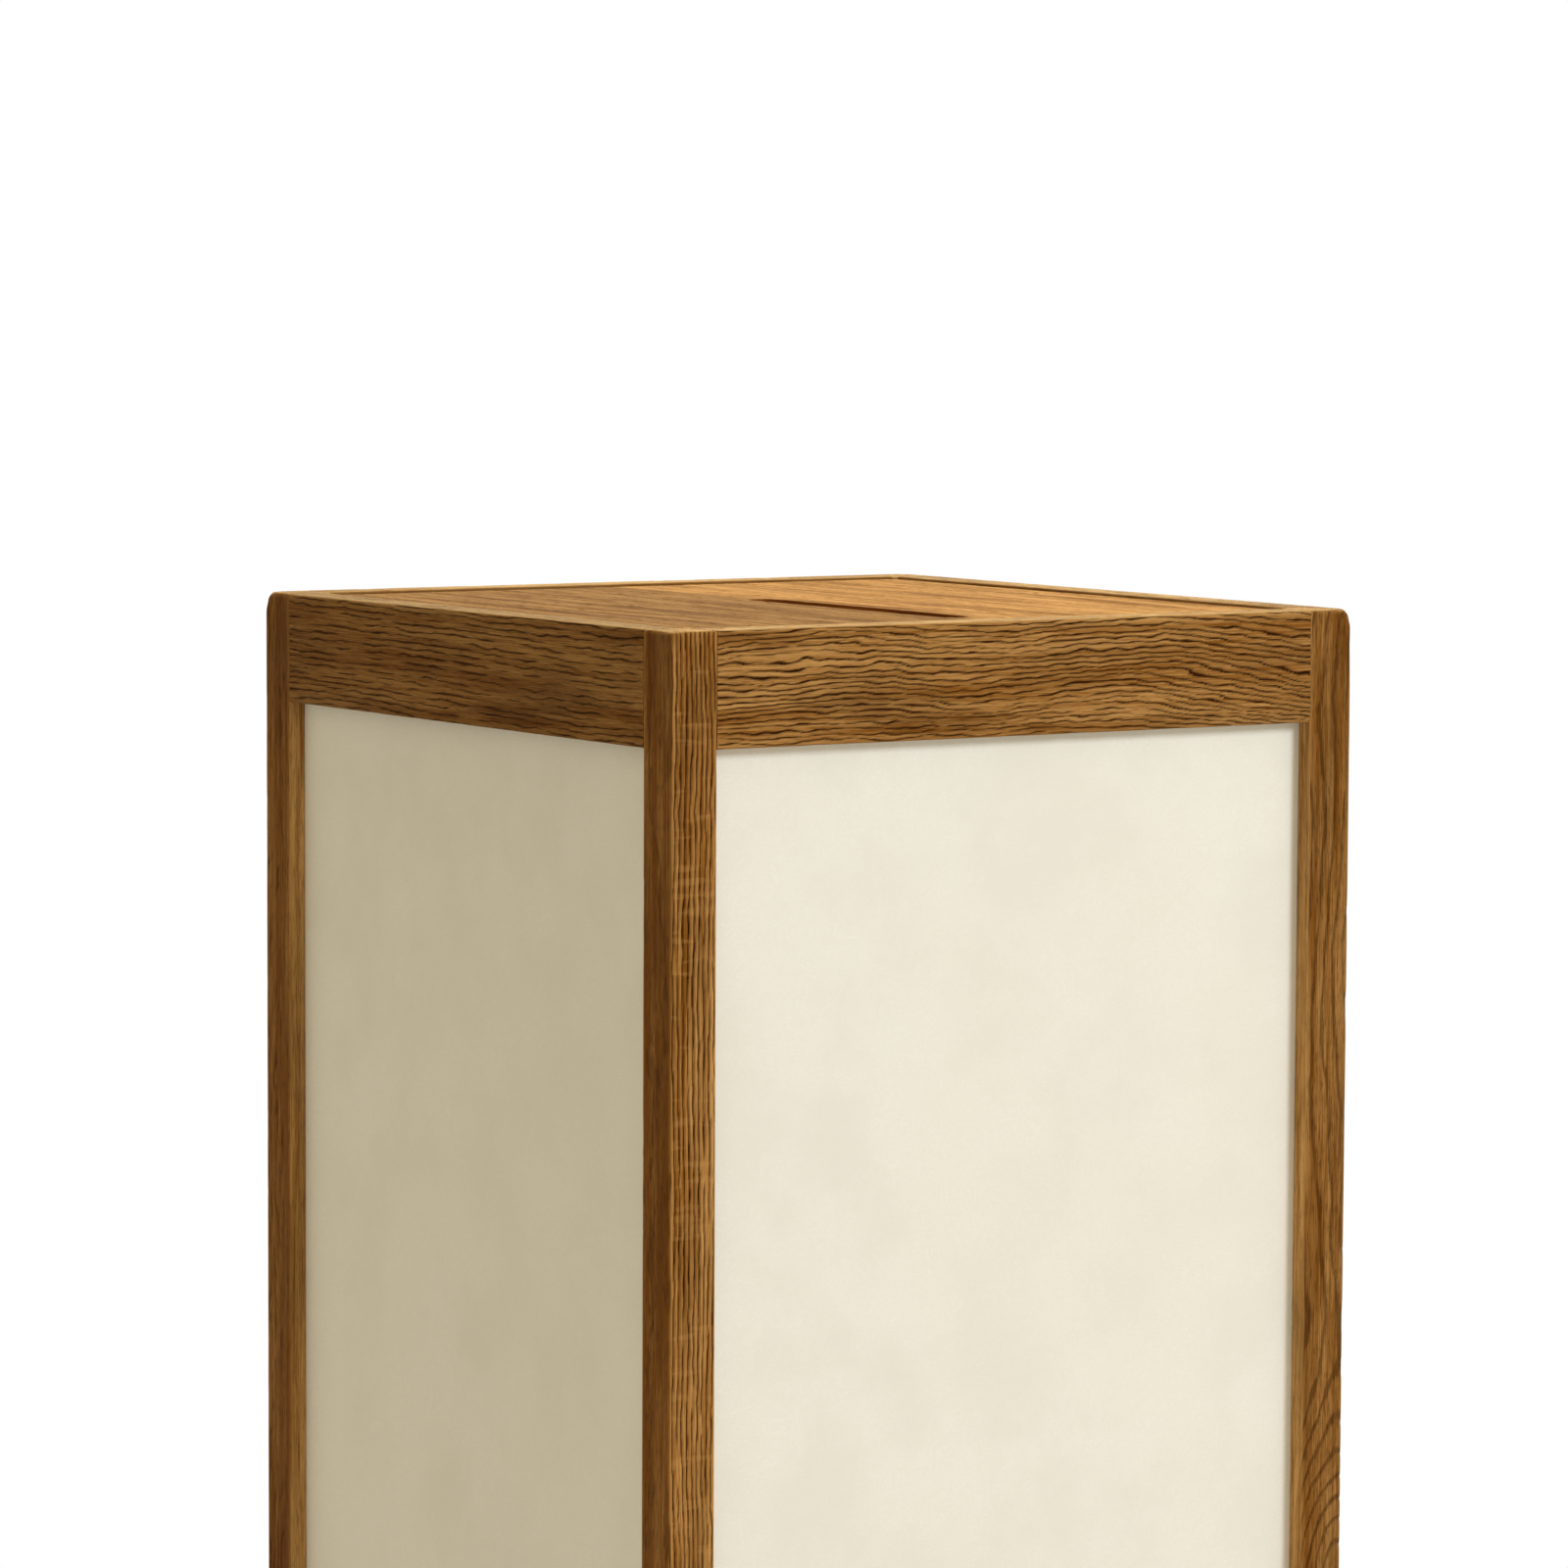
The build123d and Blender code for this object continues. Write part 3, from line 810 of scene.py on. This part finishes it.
LID_SHADES = {"lid_board_left": 0.71, "lid_board_right": 1.14}
INNER_WOODS = (
    "lid_ledge_front", "lid_ledge_back", "lid_ledge_left", "lid_ledge_right",
    "lid_batten_front", "lid_batten_back", "bar_cleat_left", "bar_cleat_right", "lamp_bar",
)

CORNER_ROUND = 2.5  # how much rounder a post's top outer corner is than its edges, in mm
CORNER_CORE = 2.0  # mm from the corner that are worn in full
CORNER_REACH = 8.0  # mm from the corner that are worn at all
LEAST_WORN = 0.3  # the share of that wear on the front left post


def grain_axis(node):
    """The grain of a rail or strip runs along Y on the left and right sides, and else along X."""
    return Y if node.endswith(("left", "right")) else X


def worn_corner(points, low, high):
    """A post's edges, worn rounder towards its outer top corner: least on the front left one."""
    corner = np.where([*((low + high)[:2] > 0), True], high, low)
    is_front_left = corner[X] < 0 and corner[Y] < 0
    near = 1 - smooth(np.linalg.norm(points - corner, axis=1), CORNER_CORE, CORNER_REACH)
    return CORNER_ROUND * (LEAST_WORN if is_front_left else 1.0) * near


def oak_frame():
    """The rails, then the posts."""
    for node, timber in RAILS.items():
        along = grain_axis(node)
        past = np.eye(3)[along] * PAST_END
        worked_timber(node, timber, RAIL_WORK, along, Z, (past, past))
    below = ((0, 0, PAST_END), FLUSH)
    for node, timber in POSTS.items():
        work = QUARTERED_WORK if node == "post_front_left" else POST_WORK
        worked_timber(node, timber, work, Z, X, below, worn_corner, CORNER_REACH)


def lid_boards():
    """Both boards are cut from one, so that the grain runs on across their joint."""
    at_joint = (PAST_END, 0, 0)
    for node, past in (("lid_board_left", (FLUSH, at_joint)), ("lid_board_right", (at_joint, FLUSH))):
        timber = Timber(97, 2.9, 15, 0.24, 0.34, breaks=0.7, wave=0.8, shade=LID_SHADES[node])
        worked_timber(node, timber, LID_WORK, Y, X, past)


def inner_woods():
    """The planed strips inside: lid ledges, battens, cleats and the cross bar."""
    for number, node in enumerate(INNER_WOODS):
        timber = Timber(101 + 7 * number, pitch=4.0, tilt=30, depth=0.08, cover=0.3)
        along = grain_axis(node)
        worked_timber(node, timber, CEDAR_WORK, along, Y if along == X else X)


# --- Turned pieces ---
def bend(radius, height, reach, start, end, steps=6):
    """Points of a round edge in a half section: centre, reach, and the angles that it runs between."""
    angles = np.radians(np.linspace(start, end, steps))
    return [(radius + reach * math.cos(a), height + reach * math.sin(a)) for a in angles]


def wall(radius, low, high, step=0.35):
    """Points up a straight wall, close enough together to carry a thread."""
    return [(radius, level) for level in np.linspace(low, high, max(2, round(abs(high - low) / step)))]


@dataclass
class Thread:
    """A rolled thread: its pitch, how deep it goes, and the levels that it runs between."""

    pitch: float
    depth: float
    low: float
    high: float

    def sink(self, level, turn):
        """How far the surface lies inside the crest."""
        run_in = smooth(level, self.low, self.low + self.pitch)
        run_out = 1 - smooth(level, self.high - self.pitch, self.high)
        wave = 0.5 - 0.5 * np.cos(2 * math.pi * level / self.pitch - turn)
        return self.depth * (run_in * run_out) * wave


def turned(profile, around, thread=None):
    """A closed mesh turned about Z from a closed half section of radius and height, in millimetres."""
    turns = np.linspace(0, 2 * math.pi, around, endpoint=False)
    rings = []
    for radius, level in profile:
        reach = np.full(around, float(radius))
        if thread and radius:
            reach = reach - thread.sink(level, turns)
        rings.append(np.stack([reach * np.cos(turns), reach * np.sin(turns), np.full(around, level)], axis=1))
    worked = bmesh.new()
    verts = [worked.verts.new(point * MM) for point in np.concatenate(rings)]
    for ring in range(len(profile)):
        after = (ring + 1) % len(profile)
        for turn in range(around):
            beside = (turn + 1) % around
            corners = [(ring, turn), (ring, beside), (after, beside), (after, turn)]
            worked.faces.new([verts[row * around + column] for row, column in corners])
    bmesh.ops.remove_doubles(worked, verts=worked.verts, dist=TURNED_MERGE)
    bmesh.ops.dissolve_degenerate(worked, edges=worked.edges, dist=TURNED_MERGE)
    bmesh.ops.recalc_face_normals(worked, faces=worked.faces)
    return mesh_of(worked, "turned")


def finished(name, mesh, finish):
    """An object with smooth faces and crisp edges."""
    mesh.name = name
    mesh.materials.clear()
    mesh.materials.append(finish)
    smooth_faces(mesh, 40)
    return shown(name, mesh)


def turned_piece(node, kind, profile, finish, around=96, thread=None):
    """A piece that is turned from its half section, in the place of its node."""
    dress(finished(f"{node}_{kind}", turned(profile, around, thread), finish), node)


def turned_size(node):
    """The radius, foot and top of a node that stands on the lamp's own axis, in millimetres."""
    _, low, high = levels(node)
    return high[X], low[Z], high[Z]


def roughened(mesh, depth, cell, seed):
    """Moves the surface inward a little, unevenly."""
    points = points_of(mesh)
    outward = read(mesh.vertices, "normal", 3)
    share = 0.5 + 0.5 * noise(points / MM / cell, seed)
    moved = points - outward * (share * depth * MM)[:, None]
    mesh.vertices.foreach_set("co", moved.astype(np.float32).ravel())
    mesh.update()
    return mesh


END_GAP = 0.02  # mm that a turned piece stays inside the ends of its solid
CAP_PITCH = 3.6  # mm from turn to turn of the thread of the bulb's cap and of the shell that takes it


# --- Feet ---
def foot_pads(finish):
    """Felt discs with soft, uneven edges, which stand on the floor."""
    for node in [name for name in NODES if name.startswith("foot_pad")]:
        middle, low, high = levels(node)
        radius, top = middle[X] - low[X], high[Z]
        profile = [(0, END_GAP), (radius * 0.5, END_GAP), (radius - 0.8, END_GAP)]
        profile += bend(radius - 0.9, 0.9, 0.85, -80, 0, 5) + wall(radius - 0.05, 1.2, top - 0.9, 0.4)
        profile += [(radius - 0.25, top - 0.3), (radius - 0.6, top - END_GAP), (0, top - END_GAP)]
        mesh = roughened(turned(profile, 64), depth=0.25, cell=0.9, seed=5)
        mesh.transform(Matrix.Translation((middle[X] * MM, middle[Y] * MM, 0)))
        mesh.transform(Matrix.Translation((0, 0, -points_of(mesh)[:, Z].min())))
        dress(finished(node + "_felt", mesh, finish), node)


# --- Screws ---
SCREW_HEAD = 2.9  # mm, a radius as the next one is
SCREW_SHANK = 1.42
SCREW_THREAD = (1.5, 0.42)  # its pitch and depth
RECESS = (3.3, 0.62, 2.4)  # the length and width of a bar of the cross, and twice its depth
RECESS_FOOT = (0.45, 0.7)  # how much of a bar is left at its foot, along X and along Y


def recess_bar(turn):
    """One bar of the cross that is sunk in a screw's head, turned by degrees about its axis."""
    worked = bmesh.new()
    bmesh.ops.create_cube(worked, size=1)
    size = Matrix.Diagonal((*(side * MM for side in RECESS), 1))
    shape = Matrix.Rotation(math.radians(turn), 4, "Z") @ size
    bmesh.ops.transform(worked, matrix=shape, verts=worked.verts)
    for vert in worked.verts:
        if vert.co.z < 0:
            vert.co.x *= RECESS_FOOT[X]
            vert.co.y *= RECESS_FOOT[Y]
    return shown("recess", mesh_of(worked, "recess"))


def screw_mesh(length):
    """A countersunk wood screw along -Z, with a cross recess in its head's face at z = 0."""
    neck = -(SCREW_HEAD - SCREW_SHANK) - 0.3
    profile = [(0, -0.05), (SCREW_HEAD - 0.5, -0.05), (SCREW_HEAD - 0.12, -0.10), (SCREW_HEAD, -0.30)]
    profile += [(SCREW_HEAD - 0.75, neck * 0.62), (SCREW_SHANK, neck)]
    profile += wall(SCREW_SHANK, neck - 0.2, -length + 3.2, 0.22)
    profile += [(SCREW_SHANK * 0.72, -length + 1.6), (0.35, -length + 0.4), (0, -length + 0.15)]
    thread = Thread(*SCREW_THREAD, -length + 1.0, neck - 0.5)
    body = shown("screw", turned(profile, 24, thread))
    for turn in (0, 90):
        mesh = cut(body, recess_bar(turn), operation="DIFFERENCE", solver="EXACT")
    bpy.data.objects.remove(body)
    return mesh


def islands(mesh):
    """The points of each separate solid of a mesh, in the order of the solids in the mesh."""
    worked = bmesh.new()
    worked.from_mesh(mesh)
    known = set()
    found = []
    for start in worked.verts:
        if start in known:
            continue
        reached = {start}
        rim = reached
        while rim:
            beside = {edge.other_vert(vert) for vert in rim for edge in vert.link_edges}
            rim = beside - reached
            reached = reached | beside
        known |= reached
        found.append(np.array([vert.co for vert in reached]) / MM)
    worked.free()
    return found


def screw_group(node, finish):
    """Screws in the places of a node's solids, each turned a little differently in its hole."""
    joined = bmesh.new()
    pattern = None
    for number, points in enumerate(islands(solid_of(node))):
        low, high = points.min(axis=0), points.max(axis=0)
        axis = int((high - low).argmax())
        middle = (low + high) / 2
        reach = np.linalg.norm(np.delete(points - middle, axis, axis=1), axis=1)
        head_high = reach[points[:, axis] > middle[axis]].max() > reach[points[:, axis] < middle[axis]].max()
        head = middle.copy()
        head[axis] = high[axis] if head_high else low[axis]
        out = Vector(np.eye(3)[axis] * (1 if head_high else -1))
        if pattern is None:
            pattern = screw_mesh(high[axis] - low[axis])
        placed = pattern.copy()
        turn = out.to_track_quat("Z", "Y").to_matrix().to_4x4()
        twist = Matrix.Rotation(1.7 * number + 0.4, 4, "Z")
        placed.transform(Matrix.Translation(Vector(head) * MM) @ turn @ twist)
        joined.from_mesh(placed)
    dress(finished(node + "_cross_head", mesh_of(joined, node), finish), node)


def screws(finish):
    for node in [name for name in NODES if name.endswith("_screws")]:
        screw_group(node, finish)


# --- Lamp holder ---
def holder_body(porcelain):
    """A wide flange under a barrel with soft edges and two grooves."""
    flange, foot, top = turned_size("holder_body")
    barrel = flange - 11.0
    flange_top = foot + 9.0
    soft = 3.45
    profile = [(0, foot + 0.03), (flange - 1.2, foot + 0.03)]
    profile += bend(flange - 1.2, foot + 1.2, 1.15, -80, 0)
    profile += bend(flange - soft, flange_top - soft, soft - 0.04, 0, 90, 8)
    profile += [(barrel + 0.6, flange_top - 0.04), (barrel - 0.04, flange_top + 0.5)]
    for groove in (flange_top + 7.0, top - 9.0):
        profile += [
            (barrel - 0.04 - 0.7 * math.cos(math.pi * share) ** 2, groove + 1.6 * share)
            for share in np.linspace(-0.5, 0.5, 9)
        ]
    profile += bend(barrel - soft, top - soft, soft - 0.04, 0, 90, 8)
    profile += [(0, top - 0.04)]
    block = shown("holder_body_porcelain", turned(profile, 96))
    smooth_faces(cut_to("holder_body", block, porcelain, porcelain), 35)
    dress(block, "holder_body")


def holder_shell(brass):
    """The threaded shell that takes the bulb's cap, with a rolled lip and a hole in its foot."""
    radius, foot, top = turned_size("holder_shell")
    outer = radius - 0.03
    inner = outer - 0.42
    hole = 8.0
    top, foot = top - END_GAP, foot + END_GAP
    profile = [(hole, foot), (outer - 1.0, foot)] + bend(outer - 1.0, foot + 1.0, 1.0, -80, -10, 5)
    profile += wall(outer, foot + 1.2, top - 0.4) + bend(outer - 0.21, top - 0.25, 0.21, 0, 180, 5)
    profile += wall(inner, top - 0.6, foot + 1.3) + [(inner - 0.8, foot + 0.45), (hole, foot + 0.42)]
    thread = Thread(CAP_PITCH, 0.28, foot + 2.0, top - 1.5)
    turned_piece("holder_shell", "brass", profile, brass, thread=thread)


def holder_contact(brass):
    radius, foot, top = turned_size("holder_contact")
    radius -= 0.03
    profile = [(0, foot + END_GAP), (radius, foot + END_GAP), (radius, top - 0.8)]
    profile += bend(radius - 0.7, top - 0.75, 0.7, 10, 80, 5) + [(1.2, top - 0.03), (0, top - 0.03)]
    turned_piece("holder_contact", "brass", profile, brass, around=48)


# --- Bulb ---
BULB_GAP = 0.04  # mm that the bulb's pieces stay inside the sides of their solids


def bulb_tip(tin):
    _, foot, top = turned_size("bulb_tip")
    profile = [(0, foot + END_GAP), (1.8, foot + 0.10), (3.0, foot + 0.45), (3.7, foot + 1.0)]
    profile += [(3.9, top - END_GAP), (0, top - END_GAP)]
    turned_piece("bulb_tip", "tin", profile, tin, around=40)


def bulb_insulator(black_glass):
    _, foot, top = turned_size("bulb_insulator")
    profile = [(0, foot + END_GAP), (4.4, foot + END_GAP), (4.9, foot + 0.5), (6.2, foot + 0.9)]
    profile += [(7.9, foot + 2.0), (9.2, foot + 3.2), (9.9, top - END_GAP), (0, top - END_GAP)]
    turned_piece("bulb_insulator", "glass", profile, black_glass, around=64)


def bulb_cap(nickel):
    """The threaded cap, with a plain rim at its top."""
    radius, foot, top = turned_size("bulb_cap")
    radius -= BULB_GAP
    profile = [(0, foot + END_GAP), (9.6, foot + END_GAP), (10.2, foot + 0.2)]
    profile += bend(radius - 2.4, foot + 2.5, 2.3, -75, -10, 6)
    profile += wall(radius - 0.08, foot + 2.8, top - 2.4)
    profile += [(radius, top - 2.0), (radius, top - 0.5), (radius - 0.3, top - END_GAP), (0, top - END_GAP)]
    thread = Thread(CAP_PITCH, 0.6, foot + 2.6, top - 2.6)
    turned_piece("bulb_cap", "metal", profile, nickel, thread=thread)


def bulb_collar(satin):
    """The collar between cap and tube, with a groove near its top."""
    radius, foot, top = turned_size("bulb_body")
    radius -= BULB_GAP
    profile = [(0, foot + END_GAP), (radius - 1.6, foot + END_GAP)]
    profile += bend(radius - 1.6, foot + 1.6, 1.55, -80, 0) + [(radius, top - 4.4)]
    profile += [(radius - 0.5, top - 4.2), (radius - 0.5, top - 3.6), (radius, top - 3.4)]
    profile += [(radius, top - 0.5), (radius - 0.4, top - END_GAP), (0, top - END_GAP)]
    turned_piece("bulb_body", "collar", profile, satin)


def bulb_tube(opal):
    """The tube that lights up, rounded off at its top."""
    radius, foot, top = turned_size("bulb_globe")
    radius -= BULB_GAP
    soft = 6.5
    profile = [(0, foot + END_GAP), (radius - 0.9, foot + END_GAP), (radius - 0.2, foot + 0.35)]
    profile += wall(radius, foot + 1.0, top - soft, 6.0)
    profile += bend(radius - soft, top - soft - 0.6, soft, 4, 78, 9)
    profile += [(radius * 0.42, top - 0.32), (radius * 0.2, top - 0.1), (0, top - 0.04)]
    turned_piece("bulb_globe", "opal", profile, opal)


# --- Cable bush ---
def cable_bush(rubber):
    """A moulded bush with rounded lips, lying along Y."""
    middle, low, high = levels("cable_bush")
    length = high[Y] - low[Y]
    flange = high[X] - 0.04
    neck = flange - 3.0
    bore = 3.55
    profile = [(neck, 0.05), (neck, length - 2.0), (flange, length - 1.9)]
    profile += bend(flange - 1.1, length - 1.15, 1.1, 5, 85)
    profile += bend(bore + 1.2, length - 1.25, 1.2, 95, 175) + [(bore, 1.0), (bore + 0.5, 0.05)]
    mesh = turned(profile, 72)
    mesh.transform(Matrix.Rotation(-math.pi / 2, 4, "X"))
    mesh.transform(Matrix.Translation((middle[X] * MM, low[Y] * MM, middle[Z] * MM)))
    dress(finished("cable_bush_rubber", mesh, rubber), "cable_bush")


# --- Panels ---
def paper_panels(paper):
    """The panels keep their own solids and take the paper as their finish."""
    for node in [name for name in NODES if name.startswith("panel")]:
        NODES[node].data.materials.clear()
        NODES[node].data.materials.append(paper)


oak_frame()
lid_boards()
inner_woods()
paper_panels(laminated_paper())
foot_pads(felt())
screws(metal("zinc_steel", (176, 176, 170), 0.34))
holder_body(glaze("white_porcelain", (233, 230, 221), 0.16, 0.6))
BRASS = metal("plated_brass", (206, 176, 112), 0.28, 0.4)
holder_shell(BRASS)
holder_contact(BRASS)
bulb_tip(metal("tin_solder", (190, 188, 182), 0.36))
bulb_insulator(glaze("black_cap_glass", (28, 27, 30), 0.18, 0.4))
bulb_cap(metal("nickel_cap", (196, 195, 190), 0.26, 0.4))
bulb_collar(glaze("satin_collar", (232, 231, 227), 0.42))
bulb_tube(opal_glass())
cable_bush(glaze("black_rubber", (34, 32, 30), 0.50))


# --- Stage ---
WHITE = (1.0, 1.0, 1.0, 1.0)
FLOOR_REACH = 12.0
FLOOR_FADE = (0.45, 0.95)  # metres from the lamp's middle, where the floor turns white for the camera
FILL_COLOUR = (1.0, 0.88, 0.64, 1.0)
FILL_STRENGTH = 0.46


def floor():
    """A pale floor that takes the lamp's shadow and turns plain white further out."""
    finish = Finish("pale_floor")
    place = finish.node("NewGeometry").outputs["Position"]
    away = finish.node("VectorMath", {"operation": "LENGTH"}, {0: place}).outputs["Value"]
    far = Number(finish, away).step(*FLOOR_FADE)
    plain = finish.node("BsdfDiffuse", None, {"Color": srgb(240, 238, 234)})
    white = finish.node("Emission", None, {"Color": WHITE, "Strength": 1.0})
    mixed = finish.node("MixShader", None, {0: finish.seen() * far, 1: plain.outputs[0], 2: white.outputs[0]})
    finish.node("OutputMaterial", None, {"Surface": mixed.outputs[0]})
    corners = FLOOR_REACH * np.array([(-1, -1, 0), (1, -1, 0), (1, 1, 0), (-1, 1, 0)])
    mesh = mesh_from("floor", corners, np.array([(0, 1, 2, 3)]))
    mesh.materials.append(finish.material)
    shown("floor", mesh)


def world():
    """A warm fill from all round, which the camera sees as white."""
    made = bpy.data.worlds.new("studio")
    made.use_nodes = True
    bpy.context.scene.world = made
    nodes = Nodes(made.node_tree)
    fill = nodes.node("Background", None, {"Color": FILL_COLOUR, "Strength": FILL_STRENGTH})
    white = nodes.node("Background", None, {"Color": WHITE, "Strength": 1.0})
    mixed = nodes.node("MixShader", None, {0: nodes.seen(), 1: fill.outputs[0], 2: white.outputs[0]})
    nodes.node("OutputWorld", None, {"Surface": mixed.outputs[0]})


def softbox(name, place, aim, size, power, colour=(1.0, 1.0, 1.0)):
    """A round lamp at a place, turned to what it aims at."""
    light = bpy.data.lights.new(name, "AREA")
    light.shape = "DISK"
    light.size = size
    light.energy = power
    light.color = colour
    lamp = shown(name, light)
    lamp.location = place
    lamp.rotation_mode = "QUATERNION"
    lamp.rotation_quaternion = (Vector(aim) - Vector(place)).to_track_quat("-Z", "Y")


def camera():
    data = bpy.data.cameras.new("camera")
    data.lens = CAMERA_LENS
    data.sensor_width = CAMERA_SENSOR
    made = shown("camera", data)
    yaw, pitch, roll = (math.radians(angle) for angle in (CAMERA_YAW, CAMERA_PITCH, CAMERA_ROLL))
    turn = Matrix.Rotation(-yaw, 4, "Z") @ Matrix.Rotation(math.pi / 2 + pitch, 4, "X")
    made.matrix_world = Matrix.Translation(CAMERA_PLACE) @ turn @ Matrix.Rotation(roll, 4, "Z")
    bpy.context.scene.camera = made


floor()
world()
softbox(
    "key", place=(1.5, -3.0, 2.05), aim=(0.0, 0.0, 0.40), size=1.1, power=80.0, colour=(0.757, 0.838, 1.0)
)
softbox("overhead", place=(0.1, 0.3, 2.6), aim=(0.0, 0.0, 0.5), size=1.4, power=26.0)
camera()
bpy.context.scene.view_settings.view_transform = "Standard"
